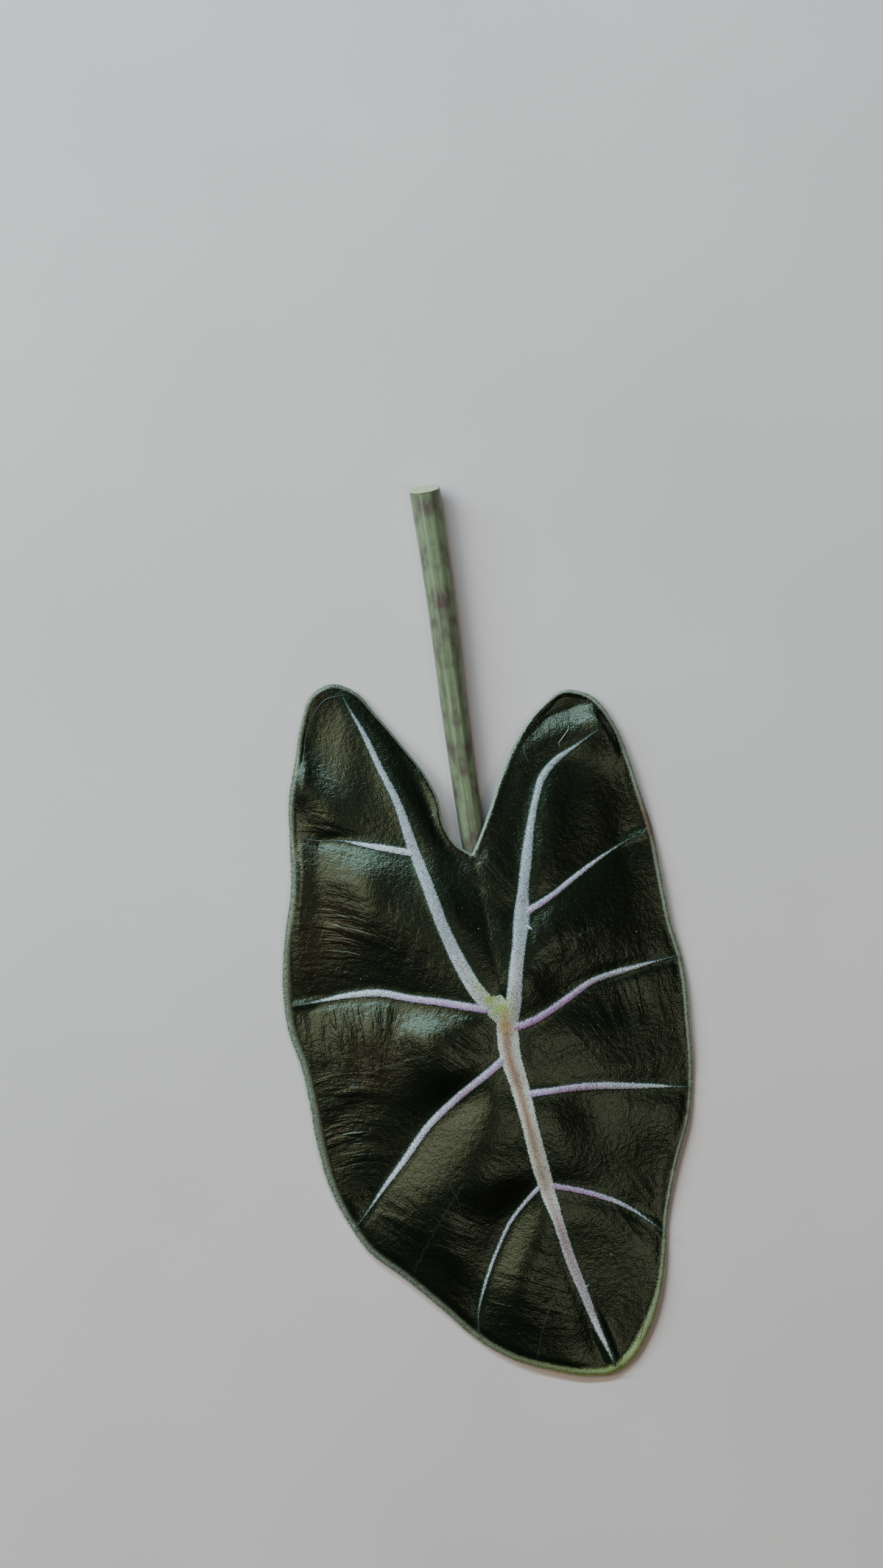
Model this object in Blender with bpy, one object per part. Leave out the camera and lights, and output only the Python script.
"""A picked alocasia leaf lying blade up: a dark waved blade, its pale ribs and its cut stalk.

Lengths in this file are millimetres, turned into metres where a mesh is made. The leaf is drawn
in plan with the junction of its ribs at 0, 0, the two lobes and the stalk towards +Y and the tip
towards -Y. It is then moved so that the middle of its outer box stands on the origin.
"""

import math

import bmesh
import bpy
import numpy as np
from mathutils import Vector
from mathutils.geometry import delaunay_2d_cdt

MM = 0.001

# Plan of the blade, clockwise from the bottom of the notch between the two lobes
NOTCH = (1.1, 35.2)
LEFT_LOBE = [(-1.7, 38.0), (-3.2, 42.3), (-3.2, 48.5), (-4.6, 53.8), (-7.9, 61.0), (-11.7, 68.6),
             (-15.3, 74.9), (-19.4, 77.4), (-24.3, 76.2), (-28.0, 70.8), (-31.2, 63.0)]
LEFT_SIDE = [(-34.2, 56.0), (-36.2, 47.0), (-38.3, 37.2), (-42.4, 26.2), (-45.1, 16.4), (-46.0, 8.0),
             (-45.1, -1.0), (-45.2, -9.0), (-45.7, -18.0), (-45.1, -27.5), (-43.0, -35.6),
             (-40.4, -42.0), (-34.3, -49.4), (-28.1, -57.6), (-21.7, -66.4), (-15.3, -72.1)]
TIP = [(-8.3, -76.0), (-0.5, -79.1), (5.2, -79.7), (9.2, -77.8), (14.0, -72.8)]
RIGHT_SIDE = [(18.0, -66.4), (21.0, -59.2), (24.0, -49.2), (28.3, -39.3), (33.3, -30.0),
              (36.4, -20.0), (38.0, -10.0), (39.4, -0.5), (39.6, 3.4), (39.1, 10.5), (39.5, 22.5)]
RIGHT_LOBE = [(39.8, 30.5), (39.1, 40.0), (38.4, 48.5), (37.2, 55.2), (33.4, 62.4), (28.4, 64.6),
              (22.6, 62.2), (16.3, 57.0), (10.9, 50.0), (6.4, 42.8), (3.2, 38.0)]

# Ribs: x, y and half width along each centre line, from its root outwards
MIDRIB = [(0.2, 2.0, 1.9), (-0.5, -3.5, 2.5), (-1.0, -8.0, 2.4), (-0.6, -14.0, 2.2), (-0.4, -22.0, 1.9),
          (-0.3, -31.0, 2.0), (0.0, -38.0, 1.8), (0.7, -45.0, 1.35), (1.4, -54.0, 1.35),
          (2.6, -62.0, 1.15), (3.5, -69.0, 0.9), (5.0, -76.0, 0.4)]
LEFT_LOBE_RIB = [(0.0, -1.5, 1.9), (-2.2, 2.4, 1.9), (-4.6, 6.6, 1.8), (-6.4, 12.0, 1.7), (-8.4, 21.0, 1.5),
                 (-9.7, 31.5, 1.45), (-11.0, 41.0, 1.3), (-11.7, 49.0, 1.05), (-13.6, 57.0, 0.9),
                 (-15.4, 65.6, 0.75), (-17.2, 71.8, 0.4)]
RIGHT_LOBE_RIB = [(0.4, -1.5, 1.9), (2.1, 2.2, 1.9), (4.2, 8.6, 1.65), (6.4, 14.6, 1.6), (8.4, 20.4, 1.85),
                  (9.8, 25.0, 1.35), (12.2, 31.8, 1.3), (14.6, 38.2, 1.0), (17.0, 43.4, 0.9),
                  (19.6, 47.8, 0.95), (23.4, 50.6, 0.85), (28.0, 52.4, 0.5), (32.0, 54.0, 0.35)]
SIDE_RIBS = [
    [(-11.0, 38.3, 0.9), (-15.2, 40.1, 0.9), (-20.6, 42.4, 0.7), (-26.0, 44.6, 0.35)],
    [(-2.5, 2.1, 1.0), (-6.5, 3.7, 1.0), (-12.6, 6.2, 0.95), (-18.9, 8.5, 0.9), (-24.8, 11.0, 0.95),
     (-31.3, 12.0, 0.8), (-41.6, 12.4, 0.35)],
    [(-0.8, -7.6, 1.05), (-5.2, -10.0, 1.0), (-14.1, -14.4, 0.95), (-22.0, -19.3, 0.9),
     (-27.6, -24.4, 0.85), (-33.7, -29.6, 0.6), (-40.0, -35.2, 0.35)],
    [(0.0, -36.0, 0.8), (-3.6, -38.3, 0.65), (-8.6, -42.2, 0.55), (-13.3, -48.0, 0.5),
     (-17.2, -54.0, 0.5), (-20.9, -61.8, 0.35)],
    [(8.6, 20.4, 1.0), (14.7, 22.4, 0.8), (22.3, 25.9, 0.7), (29.7, 28.9, 0.45), (35.0, 30.5, 0.35)],
    [(0.0, -2.7, 1.1), (5.5, -2.1, 1.0), (12.8, 0.4, 0.95), (20.0, 3.1, 0.85), (27.0, 3.6, 0.8),
     (36.8, 3.9, 0.35)],
    [(-0.6, -16.8, 1.0), (5.2, -17.4, 0.9), (14.9, -18.7, 1.0), (22.0, -20.5, 0.85),
     (28.0, -22.1, 0.6), (33.0, -23.4, 0.35)],
    [(0.0, -36.8, 0.9), (3.5, -38.2, 0.8), (9.5, -41.2, 0.8), (15.2, -45.1, 0.65), (20.6, -51.0, 0.35)],
]

# How the blade lies and bulges
MARGIN_HEIGHT = 1.8
DOME_RISE = 9.4
DOME_REACH = 40.0
DOME_ROUNDING = 5.0
NOTCH_LIFT = 5.6
NOTCH_LIFT_REACH = 15.0
STALK_LIFT = 3.0
STALK_LIFT_REACH = 13.0
MAIN_VALLEY = (2.0, 1.6)
SIDE_VALLEY = (2.4, 1.9)
VALLEY_REACH = 8.0
CREASE_DEPTH = 0.7
CREASE_REACH = 3.0

# Thicknesses, the bed that each rib lies in, and the clearance round it
BLADE_THICKNESS = 0.8
KEEL_LEAST = 0.6
KEEL_PER_WIDTH = 0.5
KEEL_SKIRT = 0.8
BED_DEPTH = 0.75
CLEARANCE = 0.3
RIB_EDGE_HEIGHT = 0.15
RIB_CROWN = 0.25

# Stalk: x, y and radius along its centre line once it lies on the surface, and its bend
STALK_ROOT_RADIUS = 2.9
STALK_BEND = [(0.0, 0.5, 0.6), (0.1, 2.4, 0.2)]
STALK_RUN = [(0.4, 7.0, 2.4), (1.1, 20.0, 2.5), (2.3, 40.0, 2.65), (4.6, 65.0, 2.85),
             (7.4, 90.0, 3.05), (9.4, 113.0, 3.25)]
STALK_SIDES = 14
STALK_STEP = 4.0
STALK_FLAT = 0.05
CUT_SLOPE = 0.25

# Mesh spacing
OUTLINE_STEP = 3.6
RIB_STEP = 4.0
GRID_STEP = 4.2
SHORTEST_EDGE = 0.7
SMOOTH_ANGLE = math.radians(40)


def smooth_line(points, step):
    """Points about step apart on a smooth curve through the given ones, which carries every column."""
    knots = np.array(points, float)
    knots = np.vstack([2 * knots[0] - knots[1], knots, 2 * knots[-1] - knots[-2]])
    length = np.linalg.norm(np.diff(knots[:, :2], axis=0), axis=1)
    t = np.linspace(0, 1, 24, endpoint=False)[:, None]
    pieces = []
    for i in range(1, len(knots) - 2):
        a, b, c, d = knots[i - 1 : i + 3]
        before, here, after = length[i - 1 : i + 2]
        leave = here * ((b - a) / before - (c - a) / (before + here) + (c - b) / here)
        arrive = here * ((c - b) / here - (d - b) / (here + after) + (d - c) / after)
        pieces.append(
            (2 * t**3 - 3 * t**2 + 1) * b
            + (t**3 - 2 * t**2 + t) * leave
            + (3 * t**2 - 2 * t**3) * c
            + (t**3 - t**2) * arrive
        )
    fine = np.vstack([*pieces, knots[-2]])
    travel = np.concatenate([[0], np.cumsum(np.linalg.norm(np.diff(fine[:, :2], axis=0), axis=1))])
    stops = np.linspace(0, travel[-1], max(2, round(travel[-1] / step) + 1))
    return np.column_stack([np.interp(stops, travel, column) for column in fine.T])


def along_line(points, line):
    """For each point: its distance to a line of x, y, half width, the half width there and the share of the way."""
    start, run = line[:-1, :2], np.diff(line[:, :2], axis=0)
    length = np.linalg.norm(run, axis=1)
    travel = np.concatenate([[0], np.cumsum(length)])
    offset = points[:, None, :] - start[None]
    share = np.clip((offset * run).sum(2) / length**2, 0, 1)
    distance = np.linalg.norm(offset - share[..., None] * run, axis=2)
    nearest = distance.argmin(1)
    rows = np.arange(len(points))
    share = share[rows, nearest]
    width = line[nearest, 2] + share * (line[nearest + 1, 2] - line[nearest, 2])
    way = (travel[nearest] + share * length[nearest]) / travel[-1]
    return distance[rows, nearest], width, way


def blade_outline():
    """The margin as a loop of plan points, smooth but for the sharp bottom of the notch."""
    points = [NOTCH, *LEFT_LOBE, *LEFT_SIDE, *TIP, *RIGHT_SIDE, *RIGHT_LOBE, NOTCH]
    return smooth_line(points, OUTLINE_STEP)[:-1]


OUTLINE = blade_outline()
MAIN_RIBS = [smooth_line(line, RIB_STEP) for line in (MIDRIB, LEFT_LOBE_RIB, RIGHT_LOBE_RIB)]
BRANCHES = [smooth_line(line, RIB_STEP) for line in SIDE_RIBS]


def margin_distance(points):
    """A rounded distance to the margin, with no ridge where two sides are equally far."""
    span = np.linalg.norm(OUTLINE - np.roll(OUTLINE, 1, axis=0), axis=1)
    away = np.linalg.norm(points[:, None, :] - OUTLINE[None], axis=2)
    total = (np.exp(-away / DOME_ROUNDING) * span).sum(1) / (2 * DOME_ROUNDING)
    return np.maximum(-DOME_ROUNDING * np.log(total), 0)


def valleys(points):
    """How far the ribs draw the blade down, with the soft crease from the junction to the notch."""
    total = np.zeros(len(points))
    for lines, (root, end) in ((MAIN_RIBS, MAIN_VALLEY), (BRANCHES, SIDE_VALLEY)):
        for line in lines:
            distance, width, way = along_line(points, line)
            beyond = np.maximum(distance - width, 0)
            total += ((root + (end - root) * way) * np.exp(-beyond / VALLEY_REACH)) ** 3
    crease = np.array([(0.0, 4.0, 0.0), (*NOTCH, 0.0)])
    distance = along_line(points, crease)[0]
    return np.cbrt(total) + CREASE_DEPTH * np.exp(-distance / CREASE_REACH)


def thickness(points):
    """Blade thickness, with a keel under each rib."""
    keel = np.zeros(len(points))
    for line in MAIN_RIBS + BRANCHES:
        distance, width, _ = along_line(points, line)
        beyond = np.maximum(distance - width - CLEARANCE, 0)
        here = (KEEL_LEAST + KEEL_PER_WIDTH * width) * np.exp(-((beyond / KEEL_SKIRT) ** 2))
        keel = np.maximum(keel, here)
    return BLADE_THICKNESS + keel


def blade_heights(points):
    """Top and underside of the blade. The underside stops at the surface that the leaf lies on."""
    points = np.asarray(points, float)
    dome = DOME_RISE * np.sin(np.minimum(margin_distance(points) / DOME_REACH, 1) * math.pi / 2)
    lift = NOTCH_LIFT * np.exp(-((points - NOTCH) ** 2).sum(1) / (2 * NOTCH_LIFT_REACH**2))
    lift += STALK_LIFT * np.exp(-(points**2).sum(1) / (2 * STALK_LIFT_REACH**2))
    thick = thickness(points)
    under = np.maximum(MARGIN_HEIGHT + dome + lift - valleys(points) - thick, 0)
    return under + thick, under


def ribbon(line, extra):
    """The plan of one rib, widened by extra on every side."""
    run = np.gradient(line[:, :2], axis=0)
    run /= np.linalg.norm(run, axis=1)[:, None]
    side = np.column_stack([-run[:, 1], run[:, 0]]) * (line[:, 2:3] + extra)
    centre = line[:, :2].copy()
    centre[0] -= run[0] * extra
    centre[-1] += run[-1] * extra
    return np.vstack([centre - side, (centre + side)[::-1]])


def boundary_loop(triangles):
    """The one loop of edges that have a triangle on one side only, in order."""
    edges = {(t[i], t[(i + 1) % 3]) for t in triangles for i in range(3)}
    after = dict(edge for edge in edges if edge[::-1] not in edges)
    loop = [next(iter(after))]
    while after[loop[-1]] != loop[0]:
        loop.append(after[loop[-1]])
    return loop


def rib_plan(extra):
    """The outline of all the ribs joined, as one loop that keeps each corner where two ribs cross."""
    points, faces = [], []
    for line in MAIN_RIBS + BRANCHES:
        shape = ribbon(line, extra)
        faces.append(list(range(len(points), len(points) + len(shape))))
        points += [Vector(p) for p in shape]
    found, _, triangles, given, _, owners = delaunay_2d_cdt(points, [], faces, 1, 1e-5, True)
    loop = boundary_loop([t for t, owner in zip(triangles, owners) if owner])
    corners = np.array([found[i] for i in loop if not given[i]])
    kept = []
    for index in loop:
        point = np.array(found[index])
        near = [*corners, *kept[-1:]] if given[index] else []
        if all(np.linalg.norm(point - other) > SHORTEST_EDGE for other in near):
            kept.append(point)
    return np.array(kept)


def rib_centres():
    """Points along the middle of the wider ribs, none too near another."""
    kept = []
    for line in MAIN_RIBS + BRANCHES:
        for x, y, width in line[:-1]:
            near = [math.hypot(x - a, y - b) < RIB_STEP * 0.45 for a, b in kept]
            if width > SHORTEST_EDGE and not any(near):
                kept.append((x, y))
    return np.array(kept)


def clear_of(points, loop, gap):
    """The points that are at least gap away from a closed loop."""
    closed = np.vstack([loop, loop[:1]])
    return points[along_line(points, np.column_stack([closed, np.zeros(len(closed))]))[0] > gap]


def grid_points():
    """A regular triangular grid over the blade's plan."""
    low, high = OUTLINE.min(0), OUTLINE.max(0)
    rows = np.arange(low[1], high[1], GRID_STEP * math.sqrt(0.75))
    return np.array([
        (x + GRID_STEP / 2 * (i % 2), y)
        for i, y in enumerate(rows)
        for x in np.arange(low[0], high[0], GRID_STEP)
    ])


def triangulate(loops, loose):
    """Plan triangles inside the first loop, and whether each one is inside the second loop, if any."""
    points, faces = [], []
    for loop in loops:
        faces.append(list(range(len(points), len(points) + len(loop))))
        points += [Vector(p) for p in loop]
    points += [Vector(p) for p in loose]
    found, _, triangles, _, _, owners = delaunay_2d_cdt(points, [], faces, 0, 1e-5, True)
    inside = [(tuple(t), 1 in owner) for t, owner in zip(triangles, owners) if 0 in owner]
    return np.array([tuple(p) for p in found]), inside


def directed_edges(triangles):
    """Every edge of the triangles in the direction that its triangle runs."""
    return {(t[i], t[(i + 1) % 3]) for t in triangles for i in range(3)}


def solid(name, levels, faces, material):
    """An object from lists of 3-D points and faces in millimetres, with its unused points dropped."""
    mesh = bpy.data.meshes.new(name)
    mesh.from_pydata(np.asarray(levels) * MM, [], faces)
    shape = bmesh.new()
    shape.from_mesh(mesh)
    bmesh.ops.delete(shape, geom=[v for v in shape.verts if not v.link_faces], context="VERTS")
    bmesh.ops.triangulate(shape, faces=shape.faces)
    bmesh.ops.recalc_face_normals(shape, faces=shape.faces)
    shape.to_mesh(mesh)
    shape.free()
    mesh.shade_smooth()
    mesh.set_sharp_from_angle(angle=SMOOTH_ANGLE)
    mesh.materials.append(material)
    made = bpy.data.objects.new(name, mesh)
    bpy.context.scene.collection.objects.link(made)
    return made


def plain_material(name, colour, roughness):
    """A Principled material of one colour."""
    made = bpy.data.materials.new(name)
    made.use_nodes = True
    shader = made.node_tree.nodes["Principled BSDF"]
    shader.inputs["Base Color"].default_value = (*colour, 1)
    shader.inputs["Roughness"].default_value = roughness
    shader.inputs["Metallic"].default_value = 0
    return made


def make_blade():
    """The blade: both faces split alike, with a bed sunk into the top for the ribs."""
    bed = rib_plan(CLEARANCE)
    grid = np.array([p for p in grid_points() if point_inside(p, OUTLINE)])
    grid = clear_of(clear_of(grid, OUTLINE, GRID_STEP * 0.45), bed, GRID_STEP * 0.4)
    plan, found = triangulate([OUTLINE, bed], np.vstack([grid, rib_centres()]))
    top, under = blade_heights(plan)
    count = len(plan)
    levels = np.vstack([
        np.column_stack([plan, top]),
        np.column_stack([plan, top - BED_DEPTH]),
        np.column_stack([plan, under]),
    ])
    every = [t for t, _ in found]
    sunk = [t for t, in_bed in found if in_bed]
    flush = [t for t, in_bed in found if not in_bed]
    faces = flush + [tuple(i + count for i in t) for t in sunk]
    faces += [tuple(i + 2 * count for i in reversed(t)) for t in every]
    flush_edges, all_edges = directed_edges(flush), directed_edges(every)
    for a, b in directed_edges(sunk):
        if (b, a) in flush_edges:
            faces.append((a + count, b + count, b, a))
    for a, b in all_edges:
        if (b, a) not in all_edges:
            faces.append((a, a + 2 * count, b + 2 * count, b))
    return solid("leaf_blade", levels, faces, plain_material("leaf_blade", (0.012, 0.022, 0.011), 0.32))


def make_ribs():
    """All the pale ribs as one body, lying in the blade's bed and standing a little proud of it."""
    centres = rib_centres()
    plan, found = triangulate([rib_plan(0.0)], centres)
    top = blade_heights(plan)[0]
    crown = np.array([RIB_CROWN if np.abs(centres - p).sum(1).min() < 1e-4 else 0.0 for p in plan])
    count = len(plan)
    levels = np.vstack([
        np.column_stack([plan, top + RIB_EDGE_HEIGHT + crown]),
        np.column_stack([plan, top - BED_DEPTH + CLEARANCE]),
    ])
    every = [t for t, _ in found]
    faces = every + [tuple(i + count for i in reversed(t)) for t in every]
    edges = directed_edges(every)
    for a, b in edges:
        if (b, a) not in edges:
            faces.append((a, a + count, b + count, b))
    return solid("leaf_ribs", levels, faces, plain_material("leaf_ribs", (0.46, 0.47, 0.43), 0.55))


def point_inside(point, loop):
    """Whether a plan point is inside a closed loop."""
    x, y = point
    ahead = np.roll(loop, -1, axis=0)
    spans = (loop[:, 1] > y) != (ahead[:, 1] > y)
    slope = (ahead[:, 0] - loop[:, 0]) / np.where(spans, ahead[:, 1] - loop[:, 1], 1)
    return bool((spans & (x < loop[:, 0] + slope * (y - loop[:, 1]))).sum() % 2)


def stalk_path():
    """Centre points and radii of the stalk, from under the junction to the cut end."""
    lowest = math.cos(math.pi / STALK_SIDES)
    turn = np.linspace(0, 2 * math.pi, STALK_SIDES)
    rim = STALK_ROOT_RADIUS * np.column_stack([np.sin(turn), np.cos(turn)])
    root = blade_heights([(0.0, 0.0), *rim])[1].min() - CLEARANCE
    resting = STALK_RUN[0][2] * lowest
    bend = [(x, y, resting + (root - resting) * share) for x, y, share in STALK_BEND]
    run = smooth_line(STALK_RUN, STALK_STEP)
    points = [(0.0, 0.0, root), *bend, *[(x, y, r * lowest - STALK_FLAT) for x, y, r in run]]
    radii = [STALK_ROOT_RADIUS, 2.5, 2.4, *run[:, 2]]
    return np.array(points), np.array(radii)


def make_stalk():
    """The stalk: it leaves the junction downwards, bends and lies along the surface to its cut end."""
    centres, radii = stalk_path()
    ahead = np.gradient(centres, axis=0)
    ahead[0] = (0, 0, -1)
    ahead /= np.linalg.norm(ahead, axis=1)[:, None]
    across = np.array([1.0, 0.0, 0.0]) - ahead[:, :1] * ahead
    across /= np.linalg.norm(across, axis=1)[:, None]
    upward = np.cross(across, ahead)
    turn = (np.arange(STALK_SIDES) + 0.5) * 2 * math.pi / STALK_SIDES
    rings = [
        centre + radius * (np.sin(turn)[:, None] * a - np.cos(turn)[:, None] * u)
        for centre, radius, a, u in zip(centres, radii, across, upward)
    ]
    rings[-1] -= ahead[-1] * CUT_SLOPE * (rings[-1][:, 2:] - centres[-1][2])
    levels = np.vstack(rings)
    levels[:, 2] = np.maximum(levels[:, 2], 0)
    faces = []
    for ring in range(len(rings) - 1):
        for side in range(STALK_SIDES):
            a = ring * STALK_SIDES + side
            b = ring * STALK_SIDES + (side + 1) % STALK_SIDES
            faces.append((a, b, b + STALK_SIDES, a + STALK_SIDES))
    faces.append(tuple(range(STALK_SIDES)))
    faces.append(tuple(range(len(levels) - STALK_SIDES, len(levels))))
    return solid("leaf_stalk", levels, faces, plain_material("leaf_stalk", (0.17, 0.19, 0.09), 0.45))


def stand_on_origin(pieces):
    """Moves the pieces so that the middle of their outer box, at its base, is the origin."""
    corners = np.array([tuple(v.co) for piece in pieces for v in piece.data.vertices])
    low, high = corners.min(0), corners.max(0)
    leaf = bpy.data.objects.new("leaf", None)
    bpy.context.scene.collection.objects.link(leaf)
    leaf.location = (-(low[0] + high[0]) / 2, -(low[1] + high[1]) / 2, -low[2])
    for piece in pieces:
        piece.parent = leaf


def main():
    for old in list(bpy.data.objects):
        bpy.data.objects.remove(old)
    stand_on_origin([make_blade(), make_ribs(), make_stalk()])


main()
